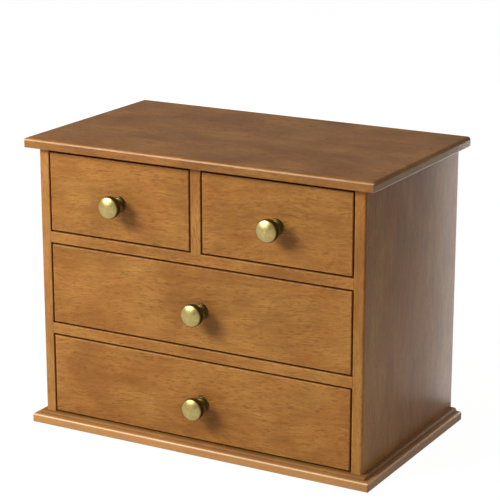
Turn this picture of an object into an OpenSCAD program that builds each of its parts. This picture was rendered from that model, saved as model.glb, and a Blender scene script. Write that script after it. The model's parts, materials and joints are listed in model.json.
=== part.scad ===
// Desktop cabinet with two small drawers over two full-width drawers.
// Millimetres. +X is to the right, +Y to the back, +Z up, and the origin is on the ground at
// the centre of the whole outline, knobs included.

/* [Case] */
// Width over the side panels
case_w = 356; // [280:1:460]
// Depth from the drawer fronts to the back edge
case_d = 208; // [160:1:300]
// Thickness of the side panels, the shelves and the divider
board_t = 11; // [9:0.5:16]
// Clear height of the opening of each full-width drawer
opening_h = 83.6; // [65:0.2:120]
// Clear height of the openings of the two small drawers
small_opening_h = 82.2; // [65:0.2:120]
// Radius of the outer front corner of each side panel
side_round_r = 2.2; // [0.5:0.1:4]
// Small radius that breaks the other front edges
ease_r = 0.8; // [0.2:0.1:1]
// Radius of the front corners of the top and base boards, seen from above
corner_r = 2; // [0.5:0.1:4]

/* [Top board] */
// Thickness of the top board
top_t = 10; // [9:0.5:18]
// How far it stands past the front
top_front_lip = 9; // [4:0.5:20]
// How far it stands past each side
top_side_lip = 12; // [4:0.5:20]
// Radius along its upper edge
top_upper_r = 3.5; // [1:0.1:6]
// Radius along its lower edge
top_lower_r = 1.5; // [0.5:0.1:3]
// Thickness of the liner under the top board
liner_t = 2; // [2:0.5:6]

/* [Base moulding] */
// Thickness of the base board
base_t = 12; // [11.5:0.5:18]
// How far the outer bead stands past the front
bead_front_lip = 9.5; // [8:0.5:20]
// How far the outer bead stands past each side
bead_side_lip = 11.5; // [8:0.5:20]
// Height of the outer bead above the ground
bead_h = 9; // [6:0.1:9.4]
// Radius of the outer bead
bead_r = 2.4; // [1:0.1:4]
// Width of the outer bead, from its face to the inner step
bead_w = 5.5; // [4:0.5:7.5]
// Radius along the inner step
step_r = 2.6; // [0.5:0.1:3]
// Radius that breaks the edge on the ground
foot_edge_r = 1.2; // [0.2:0.1:2]

/* [Case joints] */
// Depth of the grooves that hold the shelves and the divider
dado_d = 3; // [2:0.5:4]
// How far those grooves stop short of the front
dado_stop = 8; // [4:1:20]
// Thickness of the back panel
back_t = 3; // [2:0.5:6]
// How far the back panel lies in from the back edge
back_inset = 1; // [0.8:0.1:3]
// Width of the rebates that hold the back panel
rebate_w = 6; // [4:0.5:7]
// Slack at the edges of a thin panel in its groove or rebate
panel_slack = 0.2; // [0.1:0.05:0.5]

/* [Case fasteners] */
// Number of dowels, and of base screws, along each side panel
side_fasteners = 3; // [2:1:5]
// Distance of the end ones from the front and from the back
fastener_margin = 28; // [20:1:50]
// Diameter of the dowels under the top board
dowel_dia = 6; // [4:0.5:8]
// Length of the dowels
dowel_l = 24; // [16:1:40]
// How deep they go into the top board
dowel_in_top = 7; // [4:0.5:8]
// Diameter of the base screws
base_screw_dia = 4; // [3:0.5:5]
// Length of the base screws
base_screw_l = 35; // [25:1:50]
// Diameter of the heads of the base screws
base_screw_head = 8; // [7:0.5:10]
// How deep those heads sink into the base board
base_screw_sink = 0.3; // [0.1:0.1:1]
// Diameter of the pins in the back panel
pin_dia = 1.4; // [1:0.1:2]
// Length of those pins
pin_l = 14; // [10:1:25]
// Diameter of their heads
pin_head_dia = 3; // [2.5:0.1:4]
// Thickness of their heads
pin_head_t = 0.5; // [0.3:0.1:0.7]
// Number of pins up each side panel
side_pins = 4; // [2:1:8]
// Distance of the end ones from the ends of the panel
pin_margin = 43; // [20:1:60]
// Number of pins along each shelf
shelf_pins = 3; // [2:1:8]
// Clearance all round a pin, dowel or screw in its hole
hole_play = 0.05; // [0.02:0.01:0.1]

/* [Drawers] */
// Gap that shows all round a drawer front
front_gap = 1.8; // [0.8:0.1:3]
// Thickness of a drawer front
front_t = 12; // [9:0.5:15]
// Radius of the outer edges of a drawer front
front_edge_r = 1; // [0.3:0.1:2]
// Thickness of the lip of a drawer front that covers the ends of the sides
front_cover_t = 5; // [3:0.5:6]
// Thickness of the sides and the back of a drawer
box_t = 8; // [6:0.5:10]
// Gap between the sides of a drawer and the shelf that they run on
run_gap = 0.3; // [0.2:0.05:0.6]
// Space above the sides of a drawer
box_headroom = 9; // [4:0.5:20]
// Radius along the top edges of the sides
box_round_r = 1.2; // [0.4:0.1:3]
// How far the back of a drawer stays below its sides
box_back_drop = 4; // [0:0.5:15]
// How far the sides run past the back of the drawer
box_tail = 6; // [3:0.5:15]
// Gap behind a closed drawer
rear_gap = 0.5; // [0.4:0.1:3]
// Thickness of a drawer bottom
bottom_t = 3; // [2:0.5:5]
// Height of the bottom's groove above the lower edge of the sides
groove_up = 6; // [4:0.5:12]
// Depth of that groove
groove_d = 4; // [2:0.5:5]

/* [Knobs] */
// How far a knob stands out from its drawer front
knob_reach = 22; // [18:0.5:32]
// Diameter of the head
knob_dia = 22; // [18:0.5:30]
// Thickness of the head, from its underside to the top of the dome
knob_head_h = 10.5; // [9:0.1:12]
// Radius of the dome
knob_dome_r = 20; // [17:0.5:40]
// Radius of the edge round the dome
knob_edge_r = 1.8; // [0.8:0.1:3]
// Radius of the edge round the underside of the head
knob_under_r = 2.8; // [1:0.1:3]
// Diameter of the neck
knob_neck_dia = 8.5; // [7:0.5:11]
// Radius of the hollow between the neck and the head
knob_head_cove_r = 2; // [1:0.1:3]
// Diameter of the foot
knob_foot_dia = 16.5; // [14:0.5:22]
// Thickness of the foot
knob_foot_t = 2; // [1.2:0.1:3]
// Radius along the edge of the foot
knob_foot_edge_r = 1; // [0.3:0.1:1.1]
// Radius of the hollow between the foot and the neck
knob_foot_cove_r = 3; // [1:0.1:4]
// How far a knob sits below the middle of its drawer opening
knob_drop = 3; // [0:0.1:8]
// How far the knobs of the full-width drawers sit to the right of the middle
wide_knob_shift = 5; // [0:0.5:10]
// Diameter of the knob screws
knob_screw_dia = 4; // [3:0.5:4.5]
// Length of the knob screws under the head
knob_screw_l = 20; // [18:0.5:24]
// Diameter of the heads of the knob screws
knob_screw_head = 8; // [6:0.5:10]
// Height of those heads
knob_screw_head_h = 2.6; // [1.8:0.1:3.2]
// Spare depth past the tip of a screw in its hole
tip_room = 1; // [0.5:0.1:2]

/* [Hidden] */
$fn = 64;
over = 1;

front_y = -(case_d - knob_reach) / 2;
back_y = front_y + case_d;
back_face_y = back_y - back_inset;
inner_back_y = back_face_y - back_t;
inner_w = case_w - 2 * board_t;
side_mid_x = case_w / 2 - board_t / 2;
rebate_mid_x = inner_w / 2 + rebate_w / 2;

lower_shelf_z = base_t + opening_h;
upper_shelf_z = lower_shelf_z + board_t + opening_h;
small_bay_z = upper_shelf_z + board_t;
liner_z = small_bay_z + small_opening_h;
top_z = liner_z + liner_t;
small_bay_w = (inner_w - board_t) / 2;
small_mid_x = (board_t + small_bay_w) / 2;

drawer_l = case_d - back_inset - back_t - rear_gap;
groove_z = run_gap + groove_up;
box_back_y = drawer_l - box_tail - box_t;
base_head_h = (base_screw_head - base_screw_dia) / 2;

stain = [0.69, 0.47, 0.27];
pale_wood = [0.85, 0.72, 0.53];
plywood = [0.80, 0.67, 0.47];
beech = [0.87, 0.74, 0.56];
brass = [0.76, 0.66, 0.37];
steel = [0.66, 0.67, 0.69];

// Each bay: its drawer's name, the middle (X) and the floor (Z) of its opening, the opening's
// width and height, and how far its knob sits to the right of the middle.
BAYS = [
  ["top_left_drawer", -small_mid_x, small_bay_z, small_bay_w, small_opening_h, 0],
  ["top_right_drawer", small_mid_x, small_bay_z, small_bay_w, small_opening_h, 0],
  ["middle_drawer", 0, lower_shelf_z + board_t, inner_w, opening_h, wide_knob_shift],
  ["bottom_drawer", 0, base_t, inner_w, opening_h, wide_knob_shift],
];
DRAWER_PIECES = ["front", "left_side", "right_side", "back", "bottom", "knob", "knob_screw"];
CASE_PIECES = [
  "top_board", "base_board", "left_side_panel", "right_side_panel", "upper_shelf",
  "lower_shelf", "centre_divider", "top_liner", "back_panel", "top_dowels", "base_screws",
  "back_pins",
];

function piece_name(bay, piece) = str(bay[0], "_", piece);
function mid_x(bay) = bay[1];
function floor_z(bay) = bay[2];
function front_w(bay) = bay[3] - 2 * front_gap;
function front_top(bay) = bay[4] - front_gap;
function box_inner_w(bay) = front_w(bay) - 2 * box_t;
function side_top(bay) = bay[4] - box_headroom;
function knob_x(bay) = bay[5];
function knob_z(bay) = bay[4] / 2 - knob_drop;
// n places spread evenly from one end to the other, both ends included
function spread(n, from, to) = [for (i = [0:n - 1]) from + (to - from) * i / (n - 1)];

// ---- shared shapes ----

// What is cut off a corner at the origin, whose solid lies towards -X and -Y, to round it.
module corner_cut(r) {
  translate([-r, -r]) difference() {
    square(r + over);
    circle(r);
  }
}

// Rectangle between two corners, with its own radius at each corner, counter-clockwise from
// the low one.
module eased_rect(low, high, r) {
  difference() {
    translate(low) square(high - low);
    translate(low) rotate(180) corner_cut(r[0]);
    translate([high[0], low[1]]) rotate(-90) corner_cut(r[1]);
    translate(high) corner_cut(r[2]);
    translate([low[0], high[1]]) rotate(90) corner_cut(r[3]);
  }
}

// Carries a section drawn as (Y, Z) along X.
module along_x(from, to) {
  translate([from, 0, 0]) rotate([90, 0, 90]) linear_extrude(to - from) children();
}

// Carries a section drawn as (X, Z) along Y.
module along_y(from, to) {
  translate([0, to, 0]) rotate([90, 0, 0]) linear_extrude(to - from) children();
}

// Carries a plan drawn as (X, Y) along Z.
module along_z(from, to) {
  translate([0, 0, from]) linear_extrude(to - from) children();
}

// Box between two corners.
module block(low, high) {
  translate(low) cube(high - low);
}

// Mirrored copy on the left as well.
module both_sides() {
  children();
  mirror([1, 0, 0]) children();
}

// Board on the ground, flush with the back and standing proud at the front and both sides. Its
// edges are rounded there, and they meet in a mitre at the front corners, which are eased.
module moulded_board(front_lip, side_lip, t, upper_r, lower_r) {
  low_y = front_y - front_lip;
  half_w = case_w / 2 + side_lip;
  intersection() {
    along_y(low_y - over, back_y)
      eased_rect([-half_w, 0], [half_w, t], [lower_r, lower_r, upper_r, upper_r]);
    along_x(-half_w - over, half_w + over)
      eased_rect([low_y, 0], [back_y, t], [lower_r, 0, 0, upper_r]);
    along_z(-over, t + over)
      eased_rect([-half_w, low_y], [half_w, back_y + over], [corner_r, corner_r, 0, 0]);
  }
}

// Cross recess in a screw head, cut upwards from the origin.
module cross_recess(span, depth) {
  width = span / 4;
  for (turn = [0, 90]) rotate(turn)
    block([-span / 2, -width / 2, -over], [span / 2, width / 2, depth]);
}

// Where the dowels and base screws stand along each side panel.
module at_side_fasteners() {
  for (y = spread(side_fasteners, front_y + fastener_margin, back_y - fastener_margin))
    translate([side_mid_x, y, 0]) children();
}

// Where the pins go into the right side panel: its children point to +Y from the panel's face.
module at_side_pins() {
  for (z = spread(side_pins, base_t + pin_margin, top_z - pin_margin))
    translate([rebate_mid_x, back_face_y, z]) rotate([-90, 0, 0]) children();
}

// Where the pins go into the back edge of the shelf whose lower face is at z.
module at_shelf_pins(z) {
  margin = inner_w / (2 * shelf_pins);
  for (x = spread(shelf_pins, margin - inner_w / 2, inner_w / 2 - margin))
    translate([x, back_face_y, z + board_t / 2]) rotate([-90, 0, 0]) children();
}

module pin_hole() {
  depth = pin_l + tip_room;
  translate([0, 0, -depth]) cylinder(h = depth + over, d = pin_dia + 2 * hole_play);
}

// ---- case ----

module top_board() {
  color(stain) translate([0, 0, top_z]) difference() {
    moulded_board(top_front_lip, top_side_lip, top_t, top_upper_r, top_lower_r);
    both_sides() at_side_fasteners() translate([0, 0, -over])
      cylinder(h = over + dowel_in_top, d = dowel_dia + 2 * hole_play);
  }
}

// Countersunk hole, from the ground up.
module countersunk_hole() {
  mouth_r = base_screw_head / 2 + hole_play;
  shank_r = base_screw_dia / 2 + hole_play;
  translate([0, 0, -over]) cylinder(h = over + base_screw_sink, r = mouth_r);
  translate([0, 0, base_screw_sink]) cylinder(h = base_head_h, r1 = mouth_r, r2 = shank_r);
  cylinder(h = base_t + over, r = shank_r);
}

module base_board() {
  color(stain) difference() {
    union() {
      moulded_board(bead_front_lip, bead_side_lip, bead_h, bead_r, foot_edge_r);
      moulded_board(bead_front_lip - bead_w, bead_side_lip - bead_w, base_t, step_r, 0);
    }
    both_sides() at_side_fasteners() countersunk_hole();
  }
}

// Right side panel: rounded front corner, rebate for the back panel, stopped grooves for the
// shelves, and holes in its two ends.
module side_panel() {
  inner_x = inner_w / 2;
  screw_depth = base_screw_sink + base_screw_l + tip_room;
  color(stain) difference() {
    along_z(base_t, top_z) eased_rect([inner_x, front_y], [case_w / 2, back_y],
                                      [ease_r, side_round_r, ease_r, 0]);
    block([inner_x - over, inner_back_y, base_t - over],
          [inner_x + rebate_w, back_y + over, top_z + over]);
    for (z = [lower_shelf_z, upper_shelf_z])
      block([inner_x - over, front_y + dado_stop, z],
            [inner_x + dado_d, back_y, z + board_t]);
    at_side_fasteners() {
      translate([0, 0, top_z + dowel_in_top - dowel_l])
        cylinder(h = dowel_l, d = dowel_dia + 2 * hole_play);
      cylinder(h = screw_depth, d = base_screw_dia + 2 * hole_play);
    }
    at_side_pins() pin_hole();
  }
}

// Shelf whose lower face is at z. Its front corners are notched round the closed ends of the
// grooves, so its front edge shows as a rail.
module shelf(z) {
  half_l = inner_w / 2 + dado_d;
  color(stain) difference() {
    along_x(-half_l, half_l)
      eased_rect([front_y, z], [inner_back_y, z + board_t], [ease_r, 0, 0, ease_r]);
    both_sides() block([inner_w / 2, front_y - over, z - over],
                       [half_l + over, front_y + dado_stop, z + board_t + over]);
    at_shelf_pins(z) pin_hole();
  }
}

module upper_shelf() {
  top = upper_shelf_z + board_t;
  difference() {
    shelf(upper_shelf_z);
    block([-board_t / 2, front_y + dado_stop, top - dado_d],
          [board_t / 2, inner_back_y + over, top + over]);
  }
}

module centre_divider() {
  foot_z = small_bay_z - dado_d;
  color(stain) difference() {
    along_z(foot_z, liner_z) eased_rect([-board_t / 2, front_y], [board_t / 2, inner_back_y],
                                        [ease_r, ease_r, 0, 0]);
    block([-board_t / 2 - over, front_y - over, foot_z - over],
          [board_t / 2 + over, front_y + dado_stop, small_bay_z]);
  }
}

module top_liner() {
  color(stain) along_x(-inner_w / 2, inner_w / 2)
    eased_rect([front_y, liner_z], [inner_back_y, top_z], [ease_r, 0, 0, 0]);
}

module back_panel() {
  half_w = inner_w / 2 + rebate_w - panel_slack;
  color(plywood) difference() {
    block([-half_w, inner_back_y, base_t], [half_w, back_face_y, top_z]);
    both_sides() at_side_pins() pin_hole();
    for (z = [lower_shelf_z, upper_shelf_z]) at_shelf_pins(z) pin_hole();
  }
}

module top_dowels() {
  color(beech) both_sides() at_side_fasteners()
    translate([0, 0, top_z + dowel_in_top - dowel_l]) cylinder(h = dowel_l, d = dowel_dia);
}

module base_screws() {
  point_h = base_screw_dia / 2;
  color(steel) both_sides() at_side_fasteners() translate([0, 0, base_screw_sink])
    difference() {
      union() {
        cylinder(h = base_head_h, d1 = base_screw_head, d2 = base_screw_dia);
        cylinder(h = base_screw_l - point_h, d = base_screw_dia);
        translate([0, 0, base_screw_l - point_h])
          cylinder(h = point_h, d1 = base_screw_dia, d2 = 0);
      }
      cross_recess(base_screw_head / 2, base_head_h * 0.7);
    }
}

// Pin with its head towards +Z, which rests on the plane z = 0.
module pin() {
  cylinder(h = pin_head_t, d = pin_head_dia);
  translate([0, 0, -pin_l]) cylinder(h = pin_l + pin_head_t / 2, d = pin_dia);
}

module back_pins() {
  color(steel) {
    both_sides() at_side_pins() pin();
    for (z = [lower_shelf_z, upper_shelf_z]) at_shelf_pins(z) pin();
  }
}

// ---- drawers ----
// A drawer's pieces are drawn with X from the middle of its opening, Y from the front plane
// and Z from the floor of the opening.

module in_bay(bay) {
  translate([mid_x(bay), front_y, floor_z(bay)]) children();
}

// Puts children on the knob's axis, with their +Z pointing out of the front from the plane
// y = depth.
module at_knob(bay, depth = 0) {
  translate([knob_x(bay), depth, knob_z(bay)]) rotate([90, 0, 0]) children();
}

// Front: eased round its outer face, rebated at both ends for the sides, grooved for the
// bottom and drilled for the knob.
module drawer_front(bay) {
  half_w = front_w(bay) / 2;
  low_z = front_gap;
  high_z = front_top(bay);
  edge = [front_edge_r, 0, 0, front_edge_r];
  color(stain) in_bay(bay) difference() {
    intersection() {
      along_x(-half_w, half_w) eased_rect([0, low_z], [front_t, high_z], edge);
      along_z(low_z, high_z) eased_rect([-half_w, 0], [half_w, front_t],
                                        [front_edge_r, front_edge_r, 0, 0]);
    }
    both_sides() block([half_w - box_t, front_cover_t, low_z - over],
                       [half_w + over, front_t + over, high_z + over]);
    block([-half_w - over, front_t - groove_d, groove_z],
          [half_w + over, front_t + over, groove_z + bottom_t]);
    at_knob(bay, front_t + over)
      cylinder(h = front_t + 2 * over, d = knob_screw_dia + 2 * hole_play);
  }
}

// Right side: rounded along the top, grooved for the bottom and dadoed for the back.
module drawer_side(bay) {
  outer_x = front_w(bay) / 2;
  inner_x = outer_x - box_t;
  difference() {
    along_y(front_cover_t, drawer_l) eased_rect([inner_x, run_gap], [outer_x, side_top(bay)],
                                                [0, 0, box_round_r, box_round_r]);
    block([inner_x - over, front_cover_t - over, groove_z],
          [inner_x + groove_d, drawer_l + over, groove_z + bottom_t]);
    block([inner_x - over, box_back_y, groove_z],
          [inner_x + dado_d, box_back_y + box_t, side_top(bay) + over]);
  }
}

module drawer_right_side(bay) {
  color(pale_wood) in_bay(bay) drawer_side(bay);
}

module drawer_left_side(bay) {
  color(pale_wood) in_bay(bay) mirror([1, 0, 0]) drawer_side(bay);
}

// Back: its ends stand in the sides, and the bottom passes under it.
module drawer_back(bay) {
  half_w = box_inner_w(bay) / 2 + dado_d;
  color(pale_wood) in_bay(bay) along_x(-half_w, half_w)
    eased_rect([box_back_y, groove_z + bottom_t],
               [box_back_y + box_t, side_top(bay) - box_back_drop], [0, 0, ease_r, ease_r]);
}

module drawer_bottom(bay) {
  half_w = box_inner_w(bay) / 2 + groove_d - panel_slack;
  color(plywood) in_bay(bay) block([-half_w, front_t - groove_d + panel_slack, groove_z],
                                   [half_w, drawer_l, groove_z + bottom_t]);
}

// Half outline of a knob: X is the radius and Y the height above the drawer front. The dome is
// an arc about the axis that runs on into the arc of its edge, where the two share a ray.
module knob_outline() {
  neck_r = knob_neck_dia / 2;
  head_y = knob_reach - knob_head_h;
  dome_y = knob_reach - knob_dome_r;
  edge_x = knob_dia / 2 - knob_edge_r;
  edge_y = dome_y + sqrt((knob_dome_r - knob_edge_r) ^ 2 - edge_x ^ 2);
  ray = [edge_x, edge_y - dome_y] * 2;
  eased_rect([0, head_y], [knob_dia / 2, edge_y], [0, knob_under_r, 0, 0]);
  translate([edge_x, edge_y]) circle(knob_edge_r);
  intersection() {
    translate([0, dome_y]) circle(knob_dome_r);
    translate([0, dome_y]) polygon([[0, 0], ray, [0, ray[1]]]);
    translate([0, head_y]) square([knob_dia / 2, knob_head_h + over]);
  }
  difference() {
    translate([0, head_y - knob_head_cove_r])
      square([neck_r + knob_head_cove_r, knob_head_cove_r + over]);
    translate([neck_r + knob_head_cove_r, head_y - knob_head_cove_r])
      circle(knob_head_cove_r);
  }
  square([neck_r, head_y]);
  difference() {
    square([neck_r + knob_foot_cove_r, knob_foot_t + knob_foot_cove_r]);
    translate([neck_r + knob_foot_cove_r, knob_foot_t + knob_foot_cove_r])
      circle(knob_foot_cove_r);
  }
  eased_rect([0, 0], [knob_foot_dia / 2, knob_foot_t], [0, 0, knob_foot_edge_r, 0]);
}

// Turned knob, its foot flat on the drawer front, with a blind hole for its screw.
module drawer_knob(bay) {
  hole_l = knob_screw_l - front_t + tip_room;
  color(brass) in_bay(bay) at_knob(bay) difference() {
    rotate_extrude() knob_outline();
    translate([0, 0, -over]) cylinder(h = over + hole_l, d = knob_screw_dia + 2 * hole_play);
  }
}

// Screw from inside the drawer, with a domed head on the back of the front.
module drawer_knob_screw(bay) {
  head_r = knob_screw_head / 2;
  dome_r = (head_r ^ 2 + knob_screw_head_h ^ 2) / (2 * knob_screw_head_h);
  color(steel) in_bay(bay) at_knob(bay, front_t) difference() {
    union() {
      cylinder(h = knob_screw_l, d = knob_screw_dia);
      rotate_extrude() intersection() {
        translate([0, dome_r - knob_screw_head_h]) circle(dome_r);
        translate([0, -knob_screw_head_h]) square([head_r, knob_screw_head_h]);
      }
    }
    translate([0, 0, -knob_screw_head_h])
      cross_recess(knob_screw_head / 2, knob_screw_head_h * 0.6);
  }
}

// ---- nodes ----

top_board();
base_board();
mirror([1, 0, 0]) side_panel();  // left_side_panel
side_panel();  // right_side_panel
upper_shelf();
shelf(lower_shelf_z);  // lower_shelf
centre_divider();
top_liner();
back_panel();
top_dowels();
base_screws();
back_pins();

for (bay = BAYS) {
  drawer_front(bay);
  drawer_left_side(bay);
  drawer_right_side(bay);
  drawer_back(bay);
  drawer_bottom(bay);
  drawer_knob(bay);
  drawer_knob_screw(bay);
}
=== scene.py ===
"""Desktop mini drawers: the finish of every board, the brass of the knobs, the studio and the camera.

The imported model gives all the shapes. This script dresses them: stained and lacquered wood whose grain
runs along each board, bare wood and plywood inside the drawers, satin brass and zinc-plated steel.
"""
import json
import math

import bpy
import numpy as np
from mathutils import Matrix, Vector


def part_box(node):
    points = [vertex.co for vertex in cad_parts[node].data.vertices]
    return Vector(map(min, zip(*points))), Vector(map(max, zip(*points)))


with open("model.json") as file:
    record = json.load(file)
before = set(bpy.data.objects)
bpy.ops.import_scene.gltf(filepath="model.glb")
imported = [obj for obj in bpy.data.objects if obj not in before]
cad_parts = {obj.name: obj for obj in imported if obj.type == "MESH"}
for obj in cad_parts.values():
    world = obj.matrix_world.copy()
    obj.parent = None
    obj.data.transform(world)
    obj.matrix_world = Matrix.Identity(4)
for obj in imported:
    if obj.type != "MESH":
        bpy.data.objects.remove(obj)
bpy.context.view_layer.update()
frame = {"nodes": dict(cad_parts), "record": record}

MM = 0.001  # metres in a millimetre

# Two centres for patterns, in metres: the origin, and the point before it at the drawer fronts.
ORIGIN = (0.0, 0.0, 0.0)
CASE_FRONT = (0.0, -0.093, 0.0)

# Distances from the origin, in millimetres: sideways for the first three, upwards for the others.
INNER_FACE = 167.0  # of a side panel
OUTER_FACE = 178.0
TOP_END = 190.0     # of the top board
TOP_FACE = 295.4
BEAD_TOP = 9.0      # of the base's outer bead, where its step starts

# ---------------------------------------------------------------------------------------------
# Shader maths
# ---------------------------------------------------------------------------------------------


class Signal:
    """A socket that carries a number. Sums and products of signals become Math nodes."""

    def __init__(self, finish, socket):
        self.finish = finish
        self.socket = socket

    def math(self, operation, *values):
        return self.finish.node("ShaderNodeMath", {"operation": operation}, dict(enumerate(values)))

    def __add__(self, other):
        return self.math("ADD", self, other)

    def __sub__(self, other):
        return self.math("SUBTRACT", self, other)

    def __mul__(self, other):
        return self.math("MULTIPLY", self, other)

    def __truediv__(self, other):
        return self.math("DIVIDE", self, other)

    def __pow__(self, other):
        return self.math("POWER", self, other)

    def __rsub__(self, other):
        return self.math("SUBTRACT", other, self)

    __radd__ = __add__
    __rmul__ = __mul__

    def ramp(self, low, high):
        """0 up to low, 1 from high on, and a smooth step between them. low may be the larger."""
        values = {"Value": self, "From Min": low, "From Max": high}
        return self.finish.node("ShaderNodeMapRange", {"interpolation_type": "SMOOTHSTEP"}, values)


class Finish:
    """One material, or the world, and its nodes. node() adds any node, the rest name common ones."""

    def __init__(self, name, kept_with=None):
        kept_with = bpy.data.materials if kept_with is None else kept_with
        self.material = kept_with.new(name)
        self.material.use_nodes = True
        self.tree = self.material.node_tree
        self.tree.nodes.clear()

    def node(self, kind, settings=None, inputs=None, output=0):
        """Adds a node: its settings first, then the value or link of each socket. Gives one output."""
        made = self.tree.nodes.new(kind)
        for key, value in (settings or {}).items():
            if key == "stops":
                self.set_stops(made.color_ramp, value)
            else:
                setattr(made, key, value)
        for key, value in (inputs or {}).items():
            if isinstance(value, Signal):
                self.tree.links.new(value.socket, made.inputs[key])
            else:
                made.inputs[key].default_value = value
        return Signal(self, made.outputs[output]) if made.outputs else None

    @staticmethod
    def set_stops(ramp, stops):
        """Puts (place, colour) pairs on a colour ramp."""
        while len(ramp.elements) < len(stops):
            ramp.elements.new(1.0)
        for element, (place, colour) in zip(ramp.elements, stops):
            element.position = place
            element.color = (*colour, 1.0)

    def colours(self, factor, stops):
        return self.node("ShaderNodeValToRGB", {"stops": stops}, {"Fac": factor})

    def mixed(self, factor, first, second, blend="MIX"):
        """A colour between two, or one multiplied into the other, by the factor."""
        settings = {"data_type": "RGBA", "blend_type": blend}
        inputs = {0: factor, 6: self.rgba(first), 7: self.rgba(second)}
        return self.node("ShaderNodeMix", settings, inputs, output=2)

    @staticmethod
    def rgba(colour):
        return colour if isinstance(colour, Signal) else (*colour, 1.0)

    def vector(self, operation, *values, output=0):
        inputs = dict(enumerate(values))
        return self.node("ShaderNodeVectorMath", {"operation": operation}, inputs, output)

    def stretched(self, place, by):
        return self.vector("MULTIPLY", place, by)

    def noise(self, place, scale=1.0, detail=2.0, roughness=0.5, output=0):
        """Soft random blobs from 0 to 1. With output=1 it gives three of them, as a colour."""
        inputs = {"Vector": place, "Scale": scale, "Detail": detail, "Roughness": roughness}
        return self.node("ShaderNodeTexNoise", {"noise_dimensions": "3D"}, inputs, output)

    def place(self, centre, turn=(0.0, 0.0, 0.0)):
        """The point on the object in millimetres from the centre, turned so that x is the chosen axis."""
        here = self.node("ShaderNodeTexCoord", output=3)
        moved = self.vector("SUBTRACT", here, centre)
        inputs = {"Vector": moved, "Rotation": turn, "Scale": (1 / MM, 1 / MM, 1 / MM)}
        return self.node("ShaderNodeMapping", None, inputs)

    def rays(self):
        """1 for what the camera sees, and 1 for what metal, lacquer or glass mirrors or lets through."""
        seen = self.node("ShaderNodeLightPath", output="Is Camera Ray")
        glossy = self.node("ShaderNodeLightPath", output="Is Glossy Ray")
        through = self.node("ShaderNodeLightPath", output="Is Transmission Ray")
        return seen, glossy.math("MAXIMUM", glossy, through)

    def split(self, place):
        made = self.node("ShaderNodeSeparateXYZ", None, {"Vector": place})
        return [Signal(self, socket) for socket in made.socket.node.outputs]

    def bump(self, height, depth, strength=1.0):
        """A normal that follows the height, where 1 stands depth metres proud of 0."""
        inputs = {"Height": height, "Distance": depth, "Strength": strength}
        return self.node("ShaderNodeBump", None, inputs)

    def shader(self, **sockets):
        """Ends the material with one Principled shader. Underscores in a name stand for spaces."""
        inputs = {key.replace("_", " "): value for key, value in sockets.items()}
        surface = self.node("ShaderNodeBsdfPrincipled", None, inputs)
        self.node("ShaderNodeOutputMaterial", None, {"Surface": surface})
        return self.material


# ---------------------------------------------------------------------------------------------
# Wood
# ---------------------------------------------------------------------------------------------

# The turn that brings each direction of the grain onto the pattern's own x axis.
GRAIN_TURN = {"x": (0.0, 0.0, 0.0), "y": (0.0, 0.0, -math.pi / 2), "z": (0.0, math.pi / 2, 0.0)}


def board_grain(finish, along, centre, board, slant=0.0):
    """The pattern's coordinates in a board, in millimetres with x along the grain.

    Each board is cut from its own place in the log, so the pattern of one never runs on into the next.
    A slow wander and a quicker ripple push the grain lines sideways, so that they aren't ruled straight.
    """
    draw = np.random.default_rng(board)
    cut = tuple(draw.uniform(-4000.0, 4000.0, 3))
    turn_x, turn_y, turn_z = GRAIN_TURN[along]
    straight = finish.vector("ADD", finish.place(centre, (turn_x, turn_y + slant, turn_z)), cut)
    wander = finish.noise(finish.stretched(straight, (0.0065, 0.017, 0.017)), detail=1.0, output=1)
    wander = finish.vector("SUBTRACT", wander, (0.5, 0.5, 0.5))
    ripple = finish.noise(finish.stretched(straight, (0.034, 0.055, 0.055)), detail=1.0, output=1)
    ripple = finish.vector("SUBTRACT", ripple, (0.5, 0.5, 0.5))
    bent = finish.vector("ADD", straight, finish.stretched(wander, (0.0, 26.0, 26.0)))
    bent = finish.vector("ADD", bent, finish.stretched(ripple, (0.0, 4.5, 4.5)))
    return straight, bent, draw


def middle_of(node):
    low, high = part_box(node)
    return tuple((low + high) / 2)


def shell_of(finish, node):
    """How far a point lies inside each pair of faces of the node's box, in millimetres: x, y and z."""
    low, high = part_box(node)
    half = (high - low) / 2 / MM
    here = finish.vector("ABSOLUTE", finish.place(middle_of(node)))
    return finish.split(finish.vector("SUBTRACT", tuple(half), here))


def edge_wear(finish, node, reach):
    """1 along the node's outer edges, fading to 0 at reach millimetres from them, and ragged.

    A point on a face has one small depth. Next to an edge a second depth is small too, so the middle
    one of the three depths is the distance from the edge.
    """
    deep_x, deep_y, deep_z = shell_of(finish, node)
    least = deep_x.math("MINIMUM", deep_x, deep_y)
    most = deep_x.math("MAXIMUM", deep_x, deep_y)
    from_edge = least.math("MAXIMUM", least, most.math("MINIMUM", most, deep_z))
    ragged = finish.noise(finish.place(ORIGIN), scale=0.16, detail=3.0, roughness=0.65)
    return from_edge.ramp(reach, 0.0) * ragged.ramp(0.40, 0.66)


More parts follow.
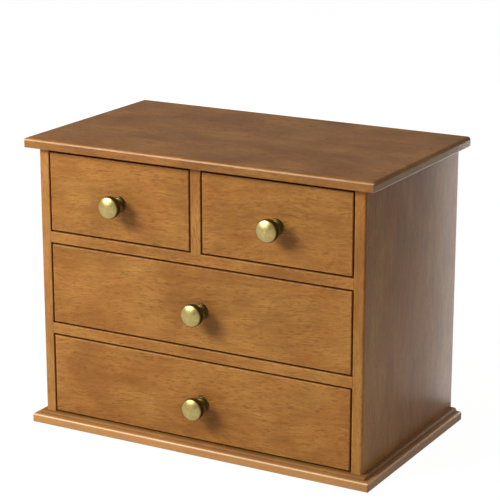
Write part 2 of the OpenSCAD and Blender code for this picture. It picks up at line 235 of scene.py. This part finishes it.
def stained_wood(name, along, node, board, look):
    """Honey-brown stain under satin lacquer: drifts of tone and hue, fibres, dark dashes and pores."""
    finish = Finish(name)
    straight, bent, _ = board_grain(finish, along, middle_of(node), board, look["slant"])

    drift = finish.noise(finish.stretched(straight, look["patch"]), detail=1.5)
    cloud = finish.noise(finish.stretched(bent, (0.030, 0.060, 0.060)), detail=1.0)
    hue = finish.noise(finish.stretched(straight, (0.015, 0.026, 0.026)), detail=1.0)
    streaks = finish.noise(finish.stretched(bent, (0.018, 0.26, 0.26)), detail=3.0, roughness=0.6)
    fibres = finish.noise(finish.stretched(bent, (0.08, 1.30, 1.30)), detail=2.0, roughness=0.6)
    dashes = finish.noise(finish.stretched(bent, (0.105, 0.72, 0.72)), detail=1.0)
    dash = dashes.ramp(0.50, 0.68) * cloud.ramp(0.25, 0.60)
    pores = finish.noise(finish.stretched(bent, (0.26, 2.4, 2.4)), detail=0.0)
    pore = pores.ramp(0.62, 0.74)

    tone = drift * look["drift"] + cloud * 0.20 + streaks * look["streaks"] + fibres * 0.20 + look["shift"]
    # painted shade: the side panels' outer faces darken towards the top, as under the top board's overhang
    if node.endswith("side_panel"):
        tone = tone - painted_overhang_shade(finish)
    colour = finish.colours(tone, look["stops"])
    redder = finish.mixed(1.0, colour, REDDER, "MULTIPLY")
    colour = finish.mixed(hue.ramp(0.40, 0.64) * look["hue"], colour, redder)
    colour = finish.mixed(dash * look["dash"], colour, DASH_STAIN)
    colour = finish.mixed(pore * 0.30, colour, PORE_STAIN)
    colour = finish.mixed(edge_wear(finish, node, WEAR_REACH) * 0.40, colour, RUBBED_STAIN)
    # painted shade: faces in the drawers' gaps and inside the case are darker and redder
    in_gap_shade = painted_gap_shade(finish, node)
    dull = in_gap_shade * 0.5
    # base board: paler bead, darker step, and a painted highlight on the bead's edge
    if node == "base_board":
        colour, on_step = moulding_tones_and_highlight(finish, colour, streaks)
        dull = dull + on_step * 0.22
    # top board: painted sheen on its ends and a painted highlight along its front edge
    if node == "top_board":
        colour = top_edge_painted_light(finish, colour, streaks)
    colour = finish.mixed(in_gap_shade, colour, GAP_SHADE_COLOUR)

    roughness = 0.29 + streaks * 0.08 + pore * 0.14 + dash * 0.05 + dull
    height = fibres * 0.30 - dash * 0.35 - pore * 0.55
    return finish.shader(
        Base_Color=colour,
        Roughness=roughness,
        Specular_IOR_Level=look["gloss"],
        Normal=finish.bump(height, GRAIN_DEPTH, 0.5),
    )


def painted_overhang_shade(finish):
    """How much painted shade darkens a side panel's outer face towards its top, as under the top board's
    overhang.
    """
    across, _, up = finish.split(finish.place(ORIGIN))
    outside = across.math("ABSOLUTE", across).ramp(OUTER_FACE - 1.0, OUTER_FACE - 0.4)
    return outside * up.ramp(*OVERHANG_SHADE_SPAN) * OVERHANG_SHADE_DEPTH


def moulding_tones_and_highlight(finish, colour, streaks):
    """Base board: the outer bead is paler, a painted highlight runs along its upper edge, and the step
    above it is darker.

    Gives the colour, and 1 on the step.
    """
    up = finish.split(finish.place(ORIGIN))[2]
    on_step = up.ramp(BEAD_TOP - 0.2, BEAD_TOP + 0.4)
    colour = finish.mixed((1.0 - on_step) * 0.50, colour, BEAD_STAIN)
    colour = finish.mixed(on_step * 0.45, colour, STEP_STAIN)
    # painted highlight: a pale line along the bead's rounded upper edge
    painted_bead_highlight = up.ramp(BEAD_TOP - 1.8, BEAD_TOP - 1.1) * up.ramp(BEAD_TOP - 0.2, BEAD_TOP - 0.7)
    return finish.mixed(painted_bead_highlight * (0.45 + streaks * 0.7), colour, BEAD_HIGHLIGHT), on_step


def top_edge_painted_light(finish, colour, streaks):
    """Top board: a painted sheen on its faces at both ends, and a thin painted highlight along the front's
    upper edge.
    """
    across, _, up = finish.split(finish.place(ORIGIN))
    at_end = across.math("ABSOLUTE", across).ramp(TOP_END - 1.8, TOP_END - 0.8)
    # painted sheen on the ends
    painted_end_sheen = at_end * up.ramp(TOP_FACE - 2.8, TOP_FACE - 4.4)
    colour = finish.mixed(painted_end_sheen * 0.50, colour, END_SHEEN)
    # painted highlight: a thin pale line on the rounding of the front's upper edge
    on_front = finish.split(finish.place(CASE_FRONT))[1].ramp(-4.0, -5.5)
    on_round = up.ramp(TOP_FACE - 2.8, TOP_FACE - 2.1) * up.ramp(TOP_FACE - 0.9, TOP_FACE - 1.5)
    painted_edge_highlight = on_front * on_round
    return finish.mixed(painted_edge_highlight * (0.05 + streaks * 0.6), colour, TOP_EDGE_HIGHLIGHT)


def painted_gap_shade(finish, node):
    """1 where the board faces a drawer's gap or the inside of the case, which gets a painted shade, darker
    and redder.

    The top and base boards have no such side.
    """
    if node.endswith("board"):
        return 0.0
    behind_front = finish.split(finish.place(CASE_FRONT))[1].ramp(0.5, 1.6)
    if node.endswith("_front"):
        deep_x, _, deep_z = shell_of(finish, node)
        return behind_front * deep_x.math("MINIMUM", deep_x, deep_z).ramp(0.30, 0.05)
    if node.endswith("side_panel"):
        across = finish.split(finish.place(ORIGIN))[0]
        return behind_front * across.math("ABSOLUTE", across).ramp(INNER_FACE + 0.3, INNER_FACE + 0.1)
    return behind_front


def bare_wood(name, along, node, board, look):
    """Sanded wood with no finish: pale and dull, with growth rings that make long arches on a wide face.

    The rings are cylinders round the middle of the log. The board leans a little against the log, so
    its faces cut them in arches. A ring darkens slowly outwards and ends at a sharp line. Good and
    lean years make the rings wide and narrow.
    """
    finish = Finish(name)
    straight, bent, draw = board_grain(finish, along, middle_of(node), board)
    here = finish.place(middle_of(node), GRAIN_TURN[along])
    push = finish.vector("SUBTRACT", bent, straight)
    grown = finish.vector("ADD", here, finish.stretched(push, (1.0, look["wave"], look["wave"])))
    lean = tuple(draw.uniform(-0.16, 0.16, 2))
    length, side, thick = finish.split(grown)
    from_middle_y = side + length * float(lean[0]) + float(draw.uniform(-25.0, 25.0))
    from_middle_z = thick + length * float(lean[1]) + float(draw.uniform(45.0, 90.0))
    from_middle = (from_middle_y * from_middle_y + from_middle_z * from_middle_z) ** 0.5
    lean_years = finish.noise(finish.stretched(grown, (0.002, 0.055, 0.055)), detail=1.0) * 3.2
    ring = from_middle / look["ring"] + lean_years
    late = ring.math("FRACT", ring)
    line = late.ramp(0.35, 0.93) * late.ramp(1.0, 0.95)
    drift = finish.noise(finish.stretched(bent, (0.008, 0.03, 0.03)), detail=2.0)
    fibres = finish.noise(finish.stretched(bent, (0.06, 1.1, 1.1)), detail=3.0, roughness=0.65)
    tone = drift * 0.40 + fibres * 0.35 + 0.30 - line * look["contrast"]
    colour = finish.colours(tone, look["stops"])
    return finish.shader(
        Base_Color=colour,
        Roughness=0.56 + fibres * 0.16,
        Specular_IOR_Level=0.30,
        Normal=finish.bump(fibres - line * 0.3, BARE_GRAIN_DEPTH, 0.5),
    )


REDDER = (0.96, 0.85, 0.80)
DASH_STAIN = (0.150, 0.050, 0.008)
PORE_STAIN = (0.085, 0.028, 0.006)
RUBBED_STAIN = (0.66, 0.34, 0.110)
# painted shade in the drawers' gaps and inside the case
GAP_SHADE_COLOUR = (0.285, 0.100, 0.016)
BEAD_STAIN = (0.72, 0.37, 0.135)
STEP_STAIN = (0.205, 0.088, 0.0160)
# painted highlight on the base's bead
BEAD_HIGHLIGHT = (0.95, 0.68, 0.40)
# painted sheen on the top board's ends
END_SHEEN = (0.50, 0.345, 0.205)
# painted highlight on the top board's front edge
TOP_EDGE_HIGHLIGHT = (0.90, 0.60, 0.32)
WEAR_REACH = 2.2           # millimetres from an edge to where it stops being rubbed
GRAIN_DEPTH = 0.00009      # metres, under the lacquer
BARE_GRAIN_DEPTH = 0.00012
OVERHANG_SHADE_SPAN = (120.0, 290.0)  # millimetres up a side panel, where its painted shade starts and stops deepening
OVERHANG_SHADE_DEPTH = 0.08              # how far its tone has dropped there, where 1 is the whole range

HONEY_STOPS = [
    (0.30, (0.240, 0.092, 0.0185)),
    (0.44, (0.345, 0.145, 0.0310)),
    (0.54, (0.445, 0.197, 0.0435)),
    (0.70, (0.560, 0.274, 0.0690)),
]
# Painted light: paler colours for the left side panel, standing in for the stronger light it gets from the
# lamp at the left.
PAINTED_LIT_STOPS = [
    (0.30, (0.270, 0.108, 0.0240)),
    (0.44, (0.375, 0.163, 0.0390)),
    (0.54, (0.475, 0.218, 0.0560)),
    (0.70, (0.590, 0.298, 0.0860)),
]
# A look says how strongly the slow drift of tone, the streaks, the dark dashes and the change of hue
# show, how much paler the board is, how far its grain leans in radians, how fine the drift is along
# and across the grain, how much its lacquer mirrors, and its colours.
HONEY = {"drift": 0.36, "streaks": 0.24, "dash": 0.40, "hue": 0.65, "shift": 0.0, "slant": 0.09,
         "patch": (0.016, 0.021, 0.021), "gloss": 0.17, "stops": HONEY_STOPS}
CALM = {**HONEY, "drift": 0.34, "streaks": 0.28, "dash": 0.22, "hue": 0.8, "slant": 0.02,
        "patch": (0.006, 0.024, 0.024)}
STAINED_LOOKS = {
    # painted light: the left side panel is made paler, as if lit more by the lamp at the left
    "left_side_panel": {**CALM, "shift": 0.06, "stops": PAINTED_LIT_STOPS},
    "right_side_panel": {**CALM, "shift": 0.03},
    "base_board": {**HONEY, "shift": 0.02, "dash": 0.30, "slant": 0.0, "gloss": 0.30},
    "top_board": {**HONEY, "shift": -0.06, "slant": 0.0, "gloss": 0.26},
    "upper_shelf": {**HONEY, "slant": 0.03},
    "lower_shelf": {**HONEY, "shift": 0.05, "slant": 0.03},
}

PALE_STOPS = [
    (0.20, (0.47, 0.31, 0.155)),
    (0.50, (0.62, 0.44, 0.245)),
    (0.80, (0.74, 0.56, 0.345)),
]
PLY_STOPS = [
    (0.20, (0.48, 0.285, 0.125)),
    (0.50, (0.62, 0.400, 0.195)),
    (0.80, (0.72, 0.495, 0.270)),
]
BEECH_STOPS = [
    (0.20, (0.52, 0.33, 0.185)),
    (0.80, (0.70, 0.50, 0.310)),
]
# Here ring is the width of a year in millimetres, wave how strongly the rings follow the wander of
# the grain, and contrast how dark the late wood of each year is.
PALE = {"ring": 4.6, "wave": 0.6, "contrast": 0.15, "stops": PALE_STOPS}
PLY = {"ring": 9.5, "wave": 1.3, "contrast": 0.11, "stops": PLY_STOPS}
BEECH = {"ring": 1.6, "wave": 0.1, "contrast": 0.10, "stops": BEECH_STOPS}

# ---------------------------------------------------------------------------------------------
# Metal
# ---------------------------------------------------------------------------------------------

POLISHED_STOPS = [
    (0.30, (0.53, 0.405, 0.135)),
    (0.52, (0.63, 0.495, 0.185)),
    (0.72, (0.71, 0.570, 0.240)),
]
AGED_STOPS = [
    (0.34, (0.085, 0.055, 0.014)),
    (0.56, (0.170, 0.118, 0.034)),
    (0.74, (0.360, 0.270, 0.090)),
]
PATINA_STARTS = (2.9, 4.3)  # millimetres behind the tip of the dome, from no patina to full


def satin_brass(name, node):
    """Turned brass: the domed face is polished, and a dark patina stays behind it, in the neck and foot."""
    finish = Finish(name)
    low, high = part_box(node)
    tip = (float(low[0] + high[0]) / 2, float(low[1]), float(low[2] + high[2]) / 2)
    across, depth, up = finish.split(finish.place(tip))
    radius = (across * across + up * up) ** 0.5
    rings_at = finish.node("ShaderNodeCombineXYZ", None, {"X": radius, "Y": depth, "Z": 0.0})
    rings = finish.noise(finish.stretched(rings_at, (4.0, 4.0, 1.0)), detail=2.0, roughness=0.7)
    tarnish = finish.noise(finish.place(tip), scale=0.25, detail=3.0, roughness=0.6)
    patina = (depth + tarnish * 1.4).ramp(*PATINA_STARTS)
    polished = finish.colours(tarnish, POLISHED_STOPS)
    aged = finish.colours(tarnish, AGED_STOPS)
    return finish.shader(
        Base_Color=finish.mixed(patina, polished, aged),
        Metallic=1.0,
        Roughness=0.30 + tarnish * 0.12 + rings * 0.07 + patina * 0.08,
        Normal=finish.bump(rings, 0.00003, 0.5),
    )


def zinc_plate(name):
    """Bright zinc plating on steel: pale, a little blue, slightly uneven."""
    finish = Finish(name)
    blotch = finish.noise(finish.place(ORIGIN), scale=0.6, detail=3.0)
    colour = finish.colours(blotch, [(0.3, (0.50, 0.52, 0.55)), (0.7, (0.66, 0.67, 0.68))])
    return finish.shader(
        Base_Color=colour,
        Metallic=1.0,
        Roughness=0.28 + blotch * 0.16,
        Normal=finish.bump(blotch, 0.00002, 0.4),
    )


# ---------------------------------------------------------------------------------------------
# Dressing the nodes
# ---------------------------------------------------------------------------------------------

GRAIN = {
    "left_side_panel": "z", "right_side_panel": "z", "centre_divider": "z",
    "left_side": "y", "right_side": "y",
}


def dress(node, slot, board):
    """Gives a node the finish of its slot, with the grain along the piece."""
    along = "x"
    for ending, axis in GRAIN.items():
        if node.endswith(ending):
            along = axis
    if slot == "stained_wood":
        material = stained_wood(f"stained_{node}", along, node, board, STAINED_LOOKS.get(node, HONEY))
    elif slot == "pale_wood":
        material = bare_wood(f"pale_{node}", along, node, board, PALE)
    elif slot == "plywood":
        material = bare_wood(f"ply_{node}", along, node, board, PLY)
    elif slot == "beech":
        material = bare_wood(f"beech_{node}", "z", node, board, BEECH)
    elif slot == "brass":
        material = satin_brass(f"brass_{node}", node)
    else:
        material = zinc_plate(f"zinc_{node}")
    shown = frame["nodes"][node]
    shown.data.materials.clear()
    shown.data.materials.append(material)


for board, part in enumerate(frame["record"]["subparts"]):
    dress(part["node"], part["material_slot"], board)

# ---------------------------------------------------------------------------------------------
# Studio
# ---------------------------------------------------------------------------------------------

WHITE = (1.0, 1.0, 1.0, 1.0)
FLOOR_REACH = 12.0      # metres from the middle to the floor's edges
FLOOR_PAINT = 0.70      # how much light the floor's paint throws back
FLOOR_SHADE = 0.12      # share of the floor's look that is lit paint, which carries the shadow
FLOOR_SEEN = 1.10       # the rest of it as the camera sees it, where 1 is white
FLOOR_MIRRORED = 0.74   # and as metal and lacquer mirror it
FAR_MIRRORED = 0.20     # the same far off, behind the object to the right
FAR_WAY = (0.49, 0.87, 0.0)
FAR_FADE = (120.0, 750.0)  # millimetres that way from the origin, where it starts and ends
MIRRORED_SHADE = 0.28   # share of the mirrored floor that is lit paint
AIR_SEEN = 1.05         # the air as the camera sees it
AIR_MIRRORED = 0.22     # as metal and lacquer mirror it
AIR_LOW = 0.14          # and as it lights the object, at the horizon
AIR_HIGH = 0.40         # and straight overhead
KEY_POWER = 18.6        # watts, as are the next two
BACK_POWER = 9.0
CARD_POWER = 0.10
CARD_AIM = (0.197, 0.06, 0.145)  # metres, just outside the right side panel


def pale_floor():
    """A white floor. It shows as the white background, darkened a little by the object's shadow."""
    reach = FLOOR_REACH
    mesh = bpy.data.meshes.new("floor")
    corners = [(-reach, -reach, 0.0), (reach, -reach, 0.0), (reach, reach, 0.0), (-reach, reach, 0.0)]
    mesh.from_pydata(corners, [], [(0, 1, 2, 3)])
    floor = bpy.data.objects.new("floor", mesh)
    bpy.context.scene.collection.objects.link(floor)
    finish = Finish("white_floor")
    seen, mirrored = finish.rays()
    far_along = finish.vector("DOT_PRODUCT", finish.place(ORIGIN), FAR_WAY, output=1)
    far = far_along.ramp(*FAR_FADE)
    mirrored_level = FLOOR_MIRRORED - far * (FLOOR_MIRRORED - FAR_MIRRORED)
    strength = seen * FLOOR_SEEN + (1.0 - seen) * mirrored_level
    grey = (FLOOR_PAINT, FLOOR_PAINT, FLOOR_PAINT, 1.0)
    paint = finish.node("ShaderNodeBsdfDiffuse", None, {"Color": grey})
    glow = finish.node("ShaderNodeEmission", None, {"Color": WHITE, "Strength": strength})
    share = seen * (1.0 - FLOOR_SHADE) + mirrored * (1.0 - MIRRORED_SHADE)
    surface = finish.node("ShaderNodeMixShader", None, {0: share, 1: paint, 2: glow})
    finish.node("ShaderNodeOutputMaterial", None, {"Surface": surface})
    mesh.materials.append(finish.material)


def soft_box(name, towards, distance, size, power, aim=(0.0, 0.0, 0.14), lights=True, mirrored=True):
    """A rectangular lamp in that direction from the aim, in degrees round and degrees up.

    Where lights is false, it only shows as a reflection and casts no light of its own. Where mirrored
    is false, it only lights, and no gloss shows it.
    """
    azimuth, elevation = (math.radians(angle) for angle in towards)
    lamp = bpy.data.lights.new(name, "AREA")
    lamp.shape = "RECTANGLE"
    lamp.size, lamp.size_y = size
    lamp.energy = power
    light = bpy.data.objects.new(name, lamp)
    flat = distance * math.cos(elevation)
    light.location = (
        aim[0] + flat * math.sin(azimuth),
        aim[1] - flat * math.cos(azimuth),
        aim[2] + distance * math.sin(elevation),
    )
    light.rotation_euler = (math.pi / 2 - elevation, 0.0, azimuth)
    light.visible_camera = False
    light.visible_diffuse = lights
    light.visible_glossy = mirrored
    bpy.context.scene.collection.objects.link(light)


def studio_air():
    """White where the camera sees it. It lights the object softly, and more from above than the sides."""
    finish = Finish("studio_air", bpy.data.worlds)
    seen, mirrored = finish.rays()
    way_up = finish.split(finish.node("ShaderNodeTexCoord", output=0))[2]
    overhead = way_up.math("MAXIMUM", way_up, 0.0)
    lighting = overhead * (AIR_HIGH - AIR_LOW) + AIR_LOW
    strength = seen * AIR_SEEN + mirrored * AIR_MIRRORED + (1.0 - seen) * (1.0 - mirrored) * lighting
    air = finish.node("ShaderNodeBackground", None, {"Color": WHITE, "Strength": strength})
    finish.node("ShaderNodeOutputWorld", None, {"Surface": air})
    bpy.context.scene.world = finish.material


pale_floor()
studio_air()
soft_box("key_lamp", (-36.0, 31.0), 1.5, (0.7, 0.45), KEY_POWER)
soft_box("back_lamp", (-145.0, 6.0), 1.8, (0.9, 0.6), BACK_POWER, mirrored=False)
soft_box("side_card", (180.0, 0.0), 0.10, (0.037, 0.29), CARD_POWER, aim=CARD_AIM, lights=False)

# ---------------------------------------------------------------------------------------------
# Camera
# ---------------------------------------------------------------------------------------------

CAMERA_PLACE = (0.89056, -1.57272, 0.69407)
CAMERA_ROUND = math.radians(29.33)  # how far it stands to the right of the front
CAMERA_DOWN = math.radians(15.81)   # how far it looks down
SENSOR_MM = 36.0
LENS_MM = 136.48

camera = bpy.data.objects.new("camera", bpy.data.cameras.new("camera"))
camera.data.sensor_width = SENSOR_MM
camera.data.lens = LENS_MM
camera.location = CAMERA_PLACE
camera.rotation_euler = (math.pi / 2 - CAMERA_DOWN, 0.0, CAMERA_ROUND)
bpy.context.scene.collection.objects.link(camera)
bpy.context.scene.camera = camera

bpy.context.scene.view_settings.view_transform = "Standard"
